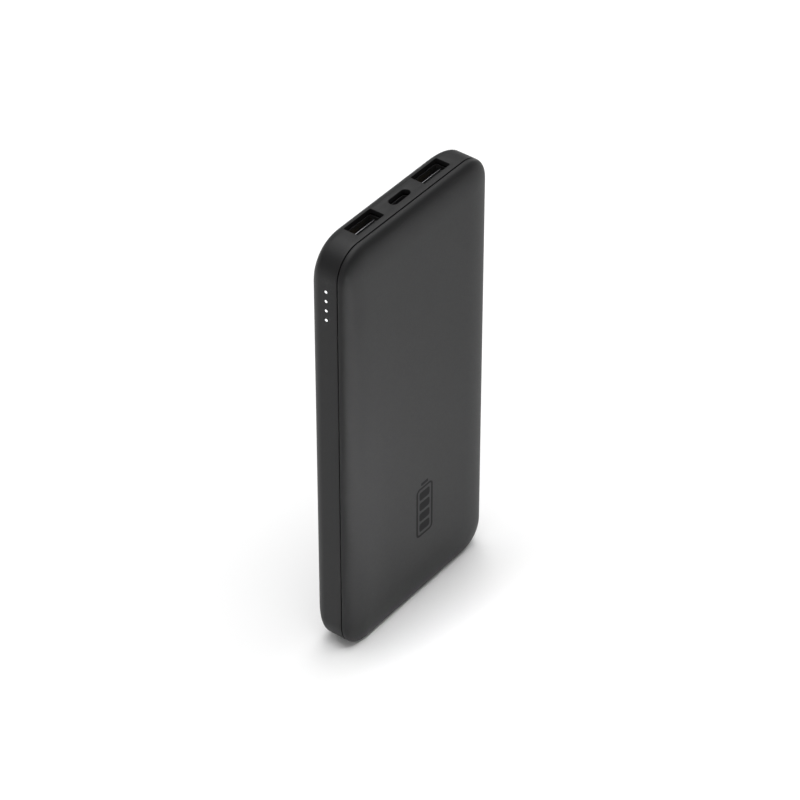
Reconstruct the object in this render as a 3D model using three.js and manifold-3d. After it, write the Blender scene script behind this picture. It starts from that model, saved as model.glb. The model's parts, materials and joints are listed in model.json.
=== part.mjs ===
// A slim power bank standing on one short end, with its ports on the upper end.
// Millimetres. +Z runs up the long axis, -Y is the front (the pillow-shaped cover),
// -X is the side with the indicator lights and +X the side with the power button.
// The origin is the middle of the end that the power bank stands on.

import * as THREE from "three";
import { mergeVertices } from "three/addons/utils/BufferGeometryUtils.js";
import Module from "manifold-3d";

const wasm = await Module();
wasm.setup();

// ---------------------------------------------------------------- driving dimensions

const WIDTH = 70.5;
const HEIGHT = 155;
const THICKNESS = 15;
const GAP = 0.3; // between pieces that are shaped round each other
const PAD_GAP = 0.15; // between flat faces that lie on each other
const BITE = 0.1; // how far pieces that are joined into one run into each other
const PAST = 1; // how far a cutting tool reaches past what it cuts

// The casing: a tray (back and sides) closed by a pillow-shaped cover.
const SEAM_Y = -3.6; // the parting line's plane
const SEAM_GAP = 0.3;
const WALL = 1.6;
const CORNER_RADIUS = 10.2; // seen from the front
const CORNER_POWER = 2.18; // 2 is a circular arc, more is squarer
// Where a corner's points lie, in degrees. The facets next to the flats are longer than the
// rest and so lean clearly off them, which leaves the end it stands on with a plain edge.
const CORNER_ANGLES = [0, 22.5, 33.75, 45, 56.25, 67.5, 90];
const BACK_EDGE_RADIUS = 4.6;
const BACK_EDGE_STEPS = 5;
const BACK_CORNER_GROWTH = 1.3; // how much rounder the corners get towards the back
const PILLOW_REACH = 12.5; // how far in from the edge the cover's flat face starts
const PILLOW_POWER = 2.7;
const PILLOW_MIN_RADIUS = 3;
const PILLOW_STEPS = 8;
const LIP_THICKNESS = 1.2; // the cover's lip, which plugs into the tray
const LIP_DEPTH = 1.4;
const HOLLOW_TAPER = 1; // how much narrower the cover's hollow gets at its floor
const HOOK = { long: 6, deep: 0.9, proud: 0.45, rooted: 0.3, setBack: 0.3 };
const HOOKS_PER_SIDE = 3;
const HOOKS_PER_END = 2;
const HOOKED_HEIGHT = 0.8 * HEIGHT; // the hooks on the long sides stay below the button
const HOOKED_WIDTH = 0.55 * WIDTH;
const CELL_RIB = { thickness: 1, front: 1.6, bottom: 12, top: 104 };
const BOARD_RIB = { thickness: 1, front: 1.4, width: 48, below: 2 };

// The ports, on the upper end.
const USB_A_X = 16.1;
const USB_A_Y = 1.3;
const USB_A_OPENING = { width: 12.8, height: 5.2, radius: 0.4 };
const USB_A_INSIDE = { width: 12.5, height: 5.12, radius: 0.4 };
const USB_A_LENGTH = 13.8;
const USB_A_BASE = { setIn: 0.2, length: 3 };
const USB_A_TONGUE = { width: 11.1, height: 1.84, length: 10, offset: 0.97 };
const USB_A_CONTACT = { width: 1, thickness: 0.2, rise: 0.55, toBump: 2.2, ramp: 2, x: [-3.5, -1, 1, 3.5] };
const USB_C_Y = 0.54;
const USB_C_OPENING = { width: 8.8, height: 3.22 };
const USB_C_INSIDE = { width: 8.34, height: 2.56 };
const USB_C_LENGTH = 8.2;
const USB_C_BASE = { setIn: 0.2, length: 2.4 };
const USB_C_TONGUE = { width: 6.69, height: 0.7, length: 4.45 };
const SHEET_METAL = 0.3;
const CONTACT_GAP = 0.1; // between a contact and its tongue
const CONTACT_SETBACK = { base: 0.2, tip: 0.8 };

// The indicator lights, down the -X side.
const LIGHT_COUNT = 4;
const LIGHT_PITCH = 3.47;
const LIGHT_TOP_Z = HEIGHT - 14.1;
const LIGHT_Y = 0.58;
const LIGHT_PIN_RADIUS = 0.5;
const LIGHT_HOLE_RADIUS = 0.65;
const LIGHT_RECESS = 0.05;
const LIGHT_BAR = { thickness: 1.1, width: 2.4, overhang: 1.4 };
const DIODE = { reach: 1.6, height: 0.66, width: 1.6, setIn: 0.1 };

// The power button, in the +X side.
const BUTTON = { length: 11.5, width: 3.5, clearance: 0.2, y: 0.6 };
const BUTTON_Z = LIGHT_TOP_Z - 1.5 * LIGHT_PITCH;
const BUTTON_RECESS = 0.1;
const BUTTON_FLANGE = { overlap: 0.6, thickness: 0.8 };
const BUTTON_NUB = { width: 1.2, length: 2.4 };
const NUB_GAP = 0.1; // between the nub and the switch's plunger
const BUTTON_TRAVEL = 0.3;
const SWITCH = { body: [28.2, 31.3], height: 1.7, length: 4.6, slack: 0.15 };
const PLUNGER = { length: 2, height: 0.8, out: 32.3, back: 30.2 };

// The main board and its screws.
const BOARD = { width: 63, bottom: 125.5, top: HEIGHT - 3.8, front: -0.9, back: 0.1, bevel: 3.5 };
const BOARD_SCREW = {
  x: 26.8,
  headRadius: 1.7,
  headHeight: 1.1,
  shankRadius: 0.9,
  length: 4.6,
  tip: 0.6,
  clearance: 0.25,
};
const BOARD_SCREW_Z = [129, 147.5];
const SCREW_CROSS = { half: 0.9, halfSlot: 0.2, depth: 0.6 };
const POST_RADIUS = 2.1;
const POST_BORE_RADIUS = 1.1;

// Chips, inductors and capacitors: [name, look, width, length, height, x, z, face].
const BOARD_PARTS = [
  ["power_inductor_1", "ferrite", 7, 7, 3.2, -11, 132, "front"],
  ["power_inductor_2", "ferrite", 7, 7, 3.2, 11, 132, "front"],
  ["converter_chip", "chip", 5, 5, 0.9, 0, 134, "back"],
  ["port_controller_chip", "chip", 4, 4, 0.8, -9, 133, "back"],
  ["indicator_controller_chip", "chip", 4.4, 3, 1, -18, 133, "back"],
];
const CAPACITORS = { radius: 2.5, height: 4.5, x: [8, 14, 20], z: 132.5 };

// The battery: two pouch cells, one behind the other.
const CELL = { width: 61, thickness: 4.7, bottom: 6, length: 104.5, edgeRadius: 1.4 };
const TERRACE = { width: 56, length: 5, thickness: 1 };
const PAD = { width: 50, thickness: 0.5, short: 8 };
const FOAM = { width: 52, thickness: 0.7 };
const TAB = { width: 6, thickness: 0.3, spread: 14, foot: 2 };
const STRIP_BOARD = { width: 48, bottom: 117.2, top: 121.4, thickness: 0.9 };
const LEAD_RADIUS = 0.8;
const LEAD_X = 3;
const THERMISTOR = { x: -20, beadRadius: 0.9, leadRadius: 0.45, above: 1.6 };

// Worked out from the above.
const BACK_Y = THICKNESS / 2;
const FRONT_Y = -THICKNESS / 2;
const TRAY_EDGE_Y = SEAM_Y + SEAM_GAP / 2;
const COVER_EDGE_Y = SEAM_Y - SEAM_GAP / 2;
const INNER_BACK_Y = BACK_Y - WALL + 0.1;
const INNER_FRONT_Y = -INNER_BACK_Y;
const SIDE_X = WIDTH / 2;
const INNER_SIDE_X = SIDE_X - WALL;
const PORT_MOUTH_Z = HEIGHT - WALL - 0.6;
const OPENING_Z = HEIGHT - 3; // where the ports' openings start, inside the end wall
const ROOT_Y = INNER_BACK_Y + 0.4; // how deep ribs and posts are rooted in the back wall
const BORE_END_Y = INNER_BACK_Y - 0.5;
const SWITCH_Y = BOARD.back + PAD_GAP + SWITCH.height / 2;

// ---------------------------------------------------------------- solids

// A closed geometry as a manifold-3d solid.
function solid(geometry) {
  const bare = geometry.index ? geometry.toNonIndexed() : geometry.clone();
  bare.deleteAttribute("normal");
  bare.deleteAttribute("uv");
  const merged = mergeVertices(bare, 1e-4);
  const mesh = new wasm.Mesh({
    numProp: 3,
    vertProperties: merged.attributes.position.array,
    triVerts: new Uint32Array(merged.index.array),
  });
  return new wasm.Manifold(mesh);
}

// A manifold-3d solid as a geometry.
function geometry(body) {
  const mesh = body.getMesh();
  const result = new THREE.BufferGeometry();
  result.setAttribute("position", new THREE.BufferAttribute(mesh.vertProperties, 3));
  result.setIndex(new THREE.BufferAttribute(mesh.triVerts, 1));
  return result;
}

function join(...parts) {
  return geometry(parts.map(solid).reduce((whole, part) => whole.add(part)));
}

function cut(base, ...tools) {
  return geometry(tools.map(solid).reduce((whole, tool) => whole.subtract(tool), solid(base)));
}

// A box between two corners, each span given as [low, high].
function block([x0, x1], [y0, y1], [z0, z1]) {
  const box = new THREE.BoxGeometry(x1 - x0, y1 - y0, z1 - z0);
  return box.translate((x0 + x1) / 2, (y0 + y1) / 2, (z0 + z1) / 2);
}

function around(middle, size) {
  return [middle - size / 2, middle + size / 2];
}

// The corner radius that makes a bar's ends half-round, short of a zero-length side.
function fullRound(height) {
  return height / 2 - 0.01;
}

// A rectangle with rounded corners, as a flat shape about its middle.
function roundedRectangle(width, height, radius) {
  const x = width / 2 - radius;
  const y = height / 2 - radius;
  const shape = new THREE.Shape();
  shape.absarc(x, y, radius, 0, Math.PI / 2);
  shape.absarc(-x, y, radius, Math.PI / 2, Math.PI);
  shape.absarc(-x, -y, radius, Math.PI, 1.5 * Math.PI);
  shape.absarc(x, -y, radius, 1.5 * Math.PI, 2 * Math.PI);
  return shape;
}

// A rounded bar along Z from z0 to z1, with its section's middle at (x, y).
function barAlongZ({ width, height, radius, x, y, z0, z1, steps = 4 }) {
  const shape = roundedRectangle(width, height, radius);
  const bar = new THREE.ExtrudeGeometry(shape, {
    depth: z1 - z0,
    bevelEnabled: false,
    curveSegments: steps,
  });
  return bar.translate(x, y, z0);
}

// A rounded bar along X from x0 to x1: width is along Z and height along Y.
function barAlongX({ width, height, radius, x0, x1, y, z, steps = 6 }) {
  const bar = barAlongZ({ width, height, radius, x: 0, y: 0, z0: 0, z1: x1 - x0, steps });
  return bar.rotateY(Math.PI / 2).translate(x0, y, z);
}

function rodAlongX(radius, [x0, x1], y, z, sides = 12) {
  const rod = new THREE.CylinderGeometry(radius, radius, x1 - x0, sides);
  return rod.rotateZ(Math.PI / 2).translate((x0 + x1) / 2, y, z);
}

function rodAlongY(radius, x, [y0, y1], z, sides = 12) {
  const rod = new THREE.CylinderGeometry(radius, radius, y1 - y0, sides);
  return rod.translate(x, (y0 + y1) / 2, z);
}

// One closed loop round the casing at depth y, moved in from its outline by inset.
function loop(y, inset, radius) {
  const points = [];
  const halfWidth = WIDTH / 2 - inset;
  const halfHeight = HEIGHT / 2 - inset;
  const corners = [[1, 1], [-1, 1], [-1, -1], [1, -1]];
  corners.forEach(([signX, signZ], corner) => {
    for (const degrees of corner % 2 ? CORNER_ANGLES.toReversed() : CORNER_ANGLES) {
      const angle = (degrees * Math.PI) / 180;
      const along = Math.cos(angle) ** (2 / CORNER_POWER);
      const across = Math.sin(angle) ** (2 / CORNER_POWER);
      const x = signX * (halfWidth - radius * (1 - along));
      const z = signZ * (halfHeight - radius * (1 - across));
      points.push([x, y, z + HEIGHT / 2]);
    }
  });
  return points;
}

// A closed skin over loops that follow each other from the front to the back.
function loft(loops) {
  const count = loops[0].length;
  const positions = loops.flat(2);
  const index = [];
  for (let row = 0; row + 1 < loops.length; row += 1) {
    for (let i = 0; i < count; i += 1) {
      const a = row * count + i;
      const b = row * count + ((i + 1) % count);
      index.push(a, a + count, b, b, a + count, b + count);
    }
  }
  const lastRow = (loops.length - 1) * count;
  for (let i = 1; i + 1 < count; i += 1) {
    index.push(0, i, i + 1);
    index.push(lastRow, lastRow + i + 1, lastRow + i);
  }
  const skin = new THREE.BufferGeometry();
  skin.setAttribute("position", new THREE.Float32BufferAttribute(positions, 3));
  skin.setIndex(index);
  return skin;
}

const pieces = [];

// Names a piece and gives it its material.
function piece(name, shape, [color, roughness, metalness]) {
  const material = new THREE.MeshStandardMaterial({ color, roughness, metalness });
  const mesh = new THREE.Mesh(shape, material);
  mesh.name = name;
  pieces.push(mesh);
}

const LOOKS = {
  casing: ["#27272a", 0.62, 0],
  button: ["#232325", 0.5, 0],
  guide: ["#f4f6f6", 0.3, 0],
  diode: ["#f2ecd0", 0.35, 0],
  board: ["#14402a", 0.45, 0],
  steel: ["#9a9ca0", 0.3, 1],
  insulator: ["#111112", 0.5, 0],
  contact: ["#d8b25a", 0.25, 1],
  chip: ["#17181a", 0.55, 0],
  ferrite: ["#3c3d40", 0.7, 0],
  can: ["#b9bcc2", 0.3, 1],
  pouch: ["#a9acb2", 0.35, 0.6],
  foam: ["#2b2b2b", 0.95, 0],
  tape: ["#e6e2d4", 0.7, 0],
  nickel: ["#b6b3aa", 0.3, 1],
  redLead: ["#b3201c", 0.5, 0],
  blackLead: ["#141414", 0.5, 0],
};

// ---------------------------------------------------------------- casing

// Loops of a rounded back edge: straight to its start, then a quarter circle.
function trayLoops(frontY, backY, inset, edgeRadius) {
  const loops = [loop(frontY, inset, CORNER_RADIUS - inset)];
  for (let step = 0; step <= BACK_EDGE_STEPS; step += 1) {
    const angle = (step / BACK_EDGE_STEPS) * (Math.PI / 2);
    const bite = edgeRadius * (1 - Math.cos(angle));
    const y = backY - edgeRadius * (1 - Math.sin(angle));
    loops.push(loop(y, inset + bite, CORNER_RADIUS - inset + bite * BACK_CORNER_GROWTH));
  }
  return loops;
}

// How far the pillow has risen at a distance in from its edge, from 0 to 1.
function pillowRise(inset) {
  return (1 - (1 - inset / PILLOW_REACH) ** PILLOW_POWER) ** (1 / PILLOW_POWER);
}

// Middles of the hooks that hold the cover, as [x, z, along] on each side.
function hookPlaces() {
  const places = [];
  for (const side of [-1, 1]) {
    for (let i = 0; i < HOOKS_PER_SIDE; i += 1) {
      places.push([side, (HOOKED_HEIGHT * (i + 0.5)) / HOOKS_PER_SIDE, "side"]);
    }
    for (let i = 0; i < HOOKS_PER_END; i += 1) {
      const x = HOOKED_WIDTH * ((i + 0.5) / HOOKS_PER_END - 0.5);
      places.push([x, side, "end"]);
    }
  }
  return places;
}

// A block on the lip's outer face, grown by a clearance for the pocket it snaps into.
function hook([a, b, kind], clearance) {
  const middleY = TRAY_EDGE_Y + LIP_DEPTH - HOOK.setBack - HOOK.deep / 2;
  const y = around(middleY, HOOK.deep + 2 * clearance);
  const reach = [WALL + GAP + HOOK.rooted, WALL + GAP - HOOK.proud - clearance];
  const long = HOOK.long + 2 * clearance;
  if (kind === "side") {
    const x = reach.map((inset) => a * (SIDE_X - inset)).sort((p, q) => p - q);
    return block(x, y, around(b, long));
  }
  const z = reach.map((inset) => HEIGHT / 2 + b * (HEIGHT / 2 - inset)).sort((p, q) => p - q);
  return block(around(a, long), y, z);
}

function usbAOpening(x) {
  return barAlongZ({ ...USB_A_OPENING, x, y: USB_A_Y, z0: OPENING_Z, z1: HEIGHT + PAST });
}

function usbCOpening() {
  const { width, height } = USB_C_OPENING;
  const radius = fullRound(height);
  return barAlongZ({ width, height, radius, x: 0, y: USB_C_Y, z0: OPENING_Z, z1: HEIGHT + PAST, steps: 6 });
}

function buttonOpening() {
  const { length, width, clearance, y } = BUTTON;
  const height = width + 2 * clearance;
  return barAlongX({
    width: length + 2 * clearance,
    height,
    radius: fullRound(height),
    x0: INNER_SIDE_X - PAST,
    x1: SIDE_X + PAST,
    y,
    z: BUTTON_Z,
  });
}

function lightPlaces() {
  return Array.from({ length: LIGHT_COUNT }, (_, i) => LIGHT_TOP_Z - i * LIGHT_PITCH);
}

function screwPlaces() {
  return [-1, 1].flatMap((side) => BOARD_SCREW_Z.map((z) => [side * BOARD_SCREW.x, z]));
}

// Ribs that stand on the tray's back wall beside and above the cells.
function batteryRibs() {
  const sideX = CELL.width / 2 + GAP + CELL_RIB.thickness / 2;
  const ribs = [-1, 1].map((side) =>
    block(
      around(side * sideX, CELL_RIB.thickness),
      [CELL_RIB.front, ROOT_Y],
      [CELL_RIB.bottom, CELL_RIB.top],
    ));
  const ribTop = BOARD.bottom - BOARD_RIB.below;
  ribs.push(block(
    around(0, BOARD_RIB.width),
    [BOARD_RIB.front, ROOT_Y],
    [ribTop - BOARD_RIB.thickness, ribTop],
  ));
  return ribs;
}

function makeBackShell() {
  const outer = loft(trayLoops(TRAY_EDGE_Y, BACK_Y, 0, BACK_EDGE_RADIUS));
  const inner = loft(trayLoops(COVER_EDGE_Y - PAST, INNER_BACK_Y, WALL, BACK_EDGE_RADIUS - WALL));
  const posts = screwPlaces().map(([x, z]) =>
    rodAlongY(POST_RADIUS, x, [BOARD.back + PAD_GAP, ROOT_Y], z, 16));
  const bores = screwPlaces().map(([x, z]) =>
    rodAlongY(POST_BORE_RADIUS, x, [BOARD.back - PAST, BORE_END_Y], z));
  const lightHoles = lightPlaces().map((z) =>
    rodAlongX(LIGHT_HOLE_RADIUS, [-SIDE_X - PAST, -INNER_SIDE_X + PAST], LIGHT_Y, z));
  const pockets = hookPlaces().map((place) => hook(place, GAP));
  const hollow = join(cut(outer, inner, ...pockets), ...posts, ...batteryRibs());
  const ports = [usbAOpening(-USB_A_X), usbAOpening(USB_A_X), usbCOpening()];
  piece("back_shell", cut(hollow, ...bores, ...ports, ...lightHoles, buttonOpening()), LOOKS.casing);
}

function makeFrontCover() {
  const loops = [];
  for (let step = PILLOW_STEPS; step >= 0; step -= 1) {
    const inset = PILLOW_REACH * (1 - Math.cos((step / PILLOW_STEPS) * (Math.PI / 2)));
    const y = COVER_EDGE_Y + (FRONT_Y - COVER_EDGE_Y) * pillowRise(inset);
    loops.push(loop(y, inset, Math.max(CORNER_RADIUS - inset, PILLOW_MIN_RADIUS)));
  }
  const pillow = loft(loops);
  const lipInset = WALL + GAP;
  const lipRadius = CORNER_RADIUS - lipInset;
  const lipBackY = TRAY_EDGE_Y + LIP_DEPTH;
  const lip = loft([
    loop(COVER_EDGE_Y - PAST, lipInset, lipRadius),
    loop(lipBackY, lipInset, lipRadius),
  ]);
  const hollowInset = lipInset + LIP_THICKNESS;
  const hollowRadius = lipRadius - LIP_THICKNESS;
  const hollow = loft([
    loop(INNER_FRONT_Y, hollowInset + HOLLOW_TAPER, hollowRadius),
    loop(COVER_EDGE_Y - PAST, hollowInset, hollowRadius),
    loop(lipBackY + PAST, hollowInset, hollowRadius),
  ]);
  const hooks = hookPlaces().map((place) => hook(place, 0));
  piece("front_cover", cut(join(pillow, lip, ...hooks), hollow), LOOKS.casing);
}

// ---------------------------------------------------------------- power button

function makeButton() {
  const { length, width, y } = BUTTON;
  const flangeFace = INNER_SIDE_X - GAP;
  const cap = barAlongX({
    width: length,
    height: width,
    radius: fullRound(width),
    x0: flangeFace - BITE,
    x1: SIDE_X - BUTTON_RECESS,
    y,
    z: BUTTON_Z,
  });
  const flangeWidth = width + 2 * BUTTON_FLANGE.overlap;
  const flange = barAlongX({
    width: length + 2 * BUTTON_FLANGE.overlap,
    height: flangeWidth,
    radius: fullRound(flangeWidth),
    x0: flangeFace - BUTTON_FLANGE.thickness,
    x1: flangeFace,
    y,
    z: BUTTON_Z,
  });
  const nub = block(
    [PLUNGER.out + NUB_GAP, flangeFace - BUTTON_FLANGE.thickness + BITE],
    around(SWITCH_Y, BUTTON_NUB.width),
    around(BUTTON_Z, BUTTON_NUB.length),
  );
  piece("power_button", join(cap, flange, nub), LOOKS.button);
}

function makeSwitch() {
  const { slack } = SWITCH;
  const body = block(SWITCH.body, around(SWITCH_Y, SWITCH.height), around(BUTTON_Z, SWITCH.length));
  const slot = block(
    [PLUNGER.back - BUTTON_TRAVEL - slack, SWITCH.body[1] + PAST],
    around(SWITCH_Y, PLUNGER.height + 2 * slack),
    around(BUTTON_Z, PLUNGER.length + 2 * slack),
  );
  piece("tact_switch_body", cut(body, slot), LOOKS.insulator);
  const plunger = block(
    [PLUNGER.back, PLUNGER.out],
    around(SWITCH_Y, PLUNGER.height),
    around(BUTTON_Z, PLUNGER.length),
  );
  piece("tact_switch_plunger", plunger, LOOKS.tape);
}

// ---------------------------------------------------------------- indicator lights

function makeLightGuide() {
  const places = lightPlaces();
  const faceX = -INNER_SIDE_X + GAP;
  const bar = block(
    [faceX, faceX + LIGHT_BAR.thickness],
    around(LIGHT_Y, LIGHT_BAR.width),
    [places.at(-1) - LIGHT_BAR.overhang, places[0] + LIGHT_BAR.overhang],
  );
  const pinSpan = [-SIDE_X + LIGHT_RECESS, faceX + BITE];
  const pins = places.map((z) => rodAlongX(LIGHT_PIN_RADIUS, pinSpan, LIGHT_Y, z));
  piece("led_light_guide", join(bar, ...pins), LOOKS.guide);
}

function makeDiodes() {
  const face = -BOARD.width / 2 + DIODE.setIn;
  lightPlaces().forEach((z, i) => {
    const body = block([face, face + DIODE.reach], around(LIGHT_Y, DIODE.height), around(z, DIODE.width));
    piece(`led_${i + 1}`, body, LOOKS.diode);
  });
}

// ---------------------------------------------------------------- ports

function makeUsbA(name, x) {
  const mouth = PORT_MOUTH_Z;
  const root = mouth - USB_A_LENGTH;
  const { width, height, radius } = USB_A_INSIDE;
  const outer = barAlongZ({
    width: width + 2 * SHEET_METAL,
    height: height + 2 * SHEET_METAL,
    radius: radius + SHEET_METAL,
    x,
    y: USB_A_Y,
    z0: root,
    z1: mouth,
  });
  const inner = barAlongZ({ width, height, radius, x, y: USB_A_Y, z0: root - PAST, z1: mouth + PAST });
  piece(`${name}_shell`, cut(outer, inner), LOOKS.steel);

  const baseZ = root + USB_A_BASE.setIn;
  const baseTop = baseZ + USB_A_BASE.length;
  const base = block(around(x, width - GAP), around(USB_A_Y, height - GAP), [baseZ, baseTop]);
  const tongueY = USB_A_Y - USB_A_TONGUE.offset;
  const tipZ = baseTop + USB_A_TONGUE.length;
  const tongue = block(
    around(x, USB_A_TONGUE.width),
    around(tongueY, USB_A_TONGUE.height),
    [baseTop - 2 * BITE, tipZ],
  );
  piece(`${name}_insulator`, join(base, tongue), LOOKS.insulator);

  USB_A_CONTACT.x.forEach((offset, i) => {
    const face = tongueY + USB_A_TONGUE.height / 2 + CONTACT_GAP;
    const strip = springContact(face, baseTop + CONTACT_SETBACK.base, tipZ - CONTACT_SETBACK.tip);
    strip.translate(x + offset - USB_A_CONTACT.width / 2, 0, 0);
    piece(`${name}_contact_${i + 1}`, strip, LOOKS.contact);
  });
}

// A contact that lies flat on the tongue, with a bump that rises off it near the tip.
function springContact(faceY, z0, z1) {
  const { width, thickness, rise, toBump, ramp } = USB_A_CONTACT;
  const bump = z1 - toBump;
  const shape = new THREE.Shape();
  shape.moveTo(faceY, z0);
  shape.lineTo(faceY, bump - ramp);
  shape.quadraticCurveTo(faceY + rise, bump - ramp / 2, faceY + rise, bump);
  shape.quadraticCurveTo(faceY + rise, bump + ramp / 2, faceY, z1);
  shape.lineTo(faceY + thickness, z1);
  shape.quadraticCurveTo(faceY + rise + thickness, bump + ramp / 2, faceY + rise + thickness, bump);
  shape.quadraticCurveTo(faceY + rise + thickness, bump - ramp / 2, faceY + thickness, bump - ramp);
  shape.lineTo(faceY + thickness, z0);
  const strip = new THREE.ExtrudeGeometry(shape, { depth: width, bevelEnabled: false, curveSegments: 3 });
  // The shape's own axes are Y and Z, and it is extruded along X.
  const axes = new THREE.Matrix4().makeBasis(
    new THREE.Vector3(0, 1, 0),
    new THREE.Vector3(0, 0, 1),
    new THREE.Vector3(1, 0, 0),
  );
  return strip.applyMatrix4(axes);
}

function makeUsbC() {
  const mouth = PORT_MOUTH_Z;
  const root = mouth - USB_C_LENGTH;
  const { width, height } = USB_C_INSIDE;
  const y = USB_C_Y;
  const outerHeight = height + 2 * SHEET_METAL;
  const outer = barAlongZ({
    width: width + 2 * SHEET_METAL,
    height: outerHeight,
    radius: fullRound(outerHeight),
    x: 0,
    y,
    z0: root,
    z1: mouth,
    steps: 6,
  });
  const inner = barAlongZ({
    width,
    height,
    radius: fullRound(height),
    x: 0,
    y,
    z0: root - PAST,
    z1: mouth + PAST,
    steps: 6,
  });
  piece("usb_c_shell", cut(outer, inner), LOOKS.steel);

  const baseTop = root + USB_C_BASE.setIn + USB_C_BASE.length;
  const base = barAlongZ({
    width: width - GAP,
    height: height - GAP,
    radius: height / 2 - GAP,
    x: 0,
    y,
    z0: baseTop - USB_C_BASE.length,
    z1: baseTop,
  });
  const tongue = block(
    around(0, USB_C_TONGUE.width),
    around(y, USB_C_TONGUE.height),
    [baseTop - BITE, baseTop + USB_C_TONGUE.length],
  );
  piece("usb_c_insulator", join(base, tongue), LOOKS.insulator);
}

// ---------------------------------------------------------------- main board

// The board's outline, with its upper corners cut to clear the casing's round ones.
function boardPlate() {
  const side = BOARD.width / 2;
  const shape = new THREE.Shape();
  shape.moveTo(-side, BOARD.bottom);
  shape.lineTo(side, BOARD.bottom);
  shape.lineTo(side, BOARD.top - BOARD.bevel);
  shape.lineTo(side - BOARD.bevel, BOARD.top);
  shape.lineTo(-side + BOARD.bevel, BOARD.top);
  shape.lineTo(-side, BOARD.top - BOARD.bevel);
  const plate = new THREE.ExtrudeGeometry(shape, {
    depth: BOARD.back - BOARD.front,
    bevelEnabled: false,
  });
  return plate.rotateX(Math.PI / 2).translate(0, BOARD.back, 0);
}

function makeMainBoard() {
  const through = [BOARD.front - PAST, BOARD.back + PAST];
  const aboveTop = BOARD.top + PAST;
  const usbAWidth = USB_A_INSIDE.width + 2 * (SHEET_METAL + GAP);
  const usbARoot = PORT_MOUTH_Z - USB_A_LENGTH - GAP;
  const usbCWidth = USB_C_INSIDE.width + 2 * (SHEET_METAL + GAP);
  const usbCRoot = PORT_MOUTH_Z - USB_C_LENGTH - GAP;
  const notches = [-USB_A_X, USB_A_X].map((x) =>
    block(around(x, usbAWidth), through, [usbARoot, aboveTop]));
  notches.push(block(around(0, usbCWidth), through, [usbCRoot, aboveTop]));
  const holeRadius = BOARD_SCREW.shankRadius + BOARD_SCREW.clearance;
  const holes = screwPlaces().map(([x, z]) => rodAlongY(holeRadius, x, through, z));
  piece("main_board", cut(boardPlate(), ...notches, ...holes), LOOKS.board);
}

function makeScrews() {
  const { headRadius, headHeight, shankRadius, length, tip } = BOARD_SCREW;
  const { half, halfSlot, depth } = SCREW_CROSS;
  const profile = [
    [0, 0],
    [headRadius * 0.75, 0],
    [headRadius, headHeight * 0.45],
    [headRadius, headHeight],
    [shankRadius, headHeight],
    [shankRadius, headHeight + length - tip],
    [0, headHeight + length],
  ];
  screwPlaces().forEach(([x, z], i) => {
    const points = profile.map((point) => new THREE.Vector2(...point));
    const turned = new THREE.LatheGeometry(points, 12);
    const recess = [
      block([-half, half], [-PAST, depth], [-halfSlot, halfSlot]),
      block([-halfSlot, halfSlot], [-PAST, depth], [-half, half]),
    ];
    const screw = cut(turned, ...recess);
    screw.translate(x, BOARD.front - PAD_GAP - headHeight, z);
    piece(`board_screw_${i + 1}`, screw, LOOKS.steel);
  });
}

function makeBoardParts() {
  for (const [name, look, width, length, height, x, z, face] of BOARD_PARTS) {
    const foot = face === "front" ? BOARD.front - PAD_GAP - height : BOARD.back + PAD_GAP;
    const body = block(around(x, width), [foot, foot + height], around(z, length));
    piece(name, body, LOOKS[look]);
  }
  CAPACITORS.x.forEach((x, i) => {
    const foot = BOARD.back + PAD_GAP;
    const can = rodAlongY(CAPACITORS.radius, x, [foot, foot + CAPACITORS.height], CAPACITORS.z, 20);
    piece(`capacitor_${i + 1}`, can, LOOKS.can);
  });
}

// ---------------------------------------------------------------- battery

// The stack from the back wall forwards: pad, rear cell, tape, front cell, foam.
function batteryStack() {
  const spans = {};
  let y = INNER_BACK_Y - PAD_GAP;
  const layers = [
    ["pad", PAD.thickness],
    ["rear", CELL.thickness],
    ["tape", PAD.thickness],
    ["front", CELL.thickness],
    ["foam", FOAM.thickness],
  ];
  for (const [name, thickness] of layers) {
    spans[name] = [y - thickness, y];
    y -= thickness + PAD_GAP;
  }
  return spans;
}

const STACK = batteryStack();
const CELL_TOP = CELL.bottom + CELL.length;
const TERRACE_TOP = CELL_TOP + TERRACE.length;

function middleOf([low, high]) {
  return (low + high) / 2;
}

function makeCell(name, span) {
  const y = middleOf(span);
  const body = barAlongZ({
    width: CELL.width,
    height: CELL.thickness,
    radius: CELL.edgeRadius,
    x: 0,
    y,
    z0: CELL.bottom,
    z1: CELL_TOP,
  });
  const terrace = block(
    around(0, TERRACE.width),
    around(y, TERRACE.thickness),
    [CELL_TOP - PAST, TERRACE_TOP],
  );
  piece(name, join(body, terrace), LOOKS.pouch);
}

// A tab rises from a cell's terrace, bends in to the strip board and lies on its face.
function makeTab(name, x, cellY) {
  const side = Math.sign(cellY);
  const thick = TAB.thickness;
  const boardFace = STRIP_BOARD.thickness / 2 + PAD_GAP;
  const outer = Math.abs(cellY) + thick / 2;
  const bend = STRIP_BOARD.bottom + TAB.foot / 2;
  const rise = block([x, x + TAB.width], [outer - thick, outer], [TERRACE_TOP + PAD_GAP, bend]);
  const shelf = block([x, x + TAB.width], [boardFace, outer], [bend - thick, bend]);
  const foot = block([x, x + TAB.width], [boardFace, boardFace + thick], [bend - thick, bend + TAB.foot]);
  const tab = join(rise, shelf, foot);
  if (side < 0) tab.rotateZ(Math.PI).translate(2 * x + TAB.width, 0, 0);
  piece(name, tab, LOOKS.nickel);
}

function lead(points, radius, steps) {
  const route = new THREE.CatmullRomCurve3(points.map((point) => new THREE.Vector3(...point)));
  const section = new THREE.Shape();
  section.absarc(0, 0, radius, 0, 2 * Math.PI);
  return new THREE.ExtrudeGeometry(section, {
    extrudePath: route,
    steps,
    curveSegments: 8,
    bevelEnabled: false,
  });
}

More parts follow.
